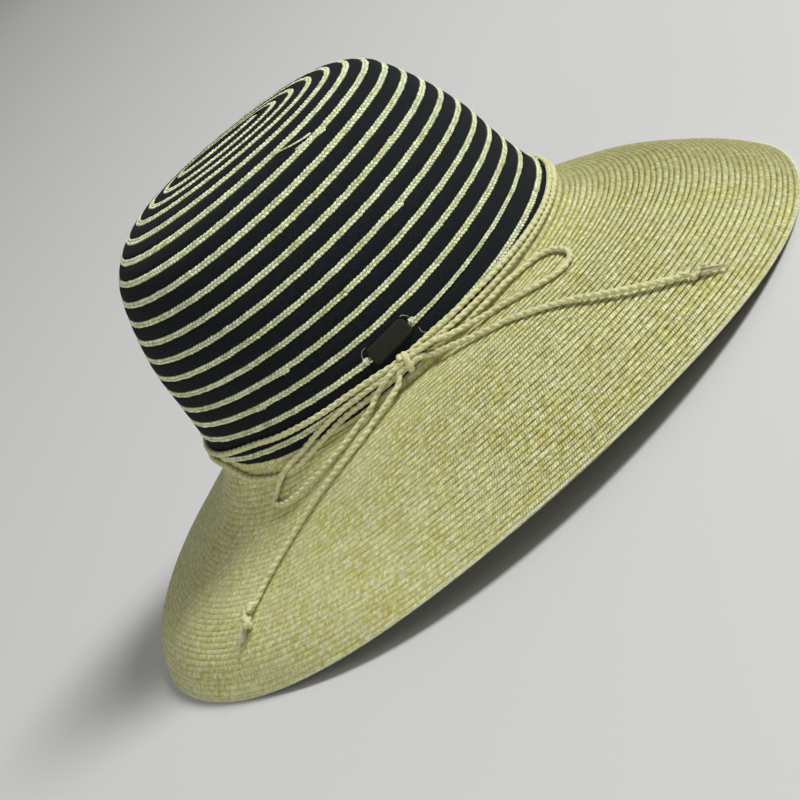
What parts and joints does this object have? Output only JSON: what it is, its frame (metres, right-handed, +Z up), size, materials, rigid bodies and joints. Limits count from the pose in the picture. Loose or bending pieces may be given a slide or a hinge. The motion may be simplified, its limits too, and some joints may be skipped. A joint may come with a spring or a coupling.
{
  "type": "wide-brimmed straw sun hat",
  "caption": "Capeline sewn from straw braid, with a dark striped crown, a wide drooping brim, and a thin cord tied in a bow with knotted ends.",
  "frame": {"origin": "on the floor under the middle of the brim, where the hat rests on its rim", "axes": "+X to the front of the hat, +Y to the side away from the bow, +Z up through the crown"},
  "size_m": [0.3664, 0.351, 0.1718],
  "materials": {
    "dark_strip": "matte woven strip, near black",
    "crown_straw": "pale natural straw braid, satin",
    "brim_straw": "natural straw braid, sewn in rows, satin",
    "cord": "two-ply natural fibre cord, matte",
    "tag": "plain dark woven tape, matte"
  },
  "bodies": {
    "root": {"crown": "dark_strip", "crown_straw_spiral": "crown_straw", "brim": "brim_straw", "cord_band_upper": "cord", "cord_band_lower": "cord", "bow_knot": "cord", "bow_loop_left": "cord", "bow_loop_right": "cord", "cord_tail_left": "cord", "cord_tail_right": "cord", "tail_knot_left": "cord", "tail_knot_right": "cord", "label_tag": "tag"}
  },
  "joints": []
}
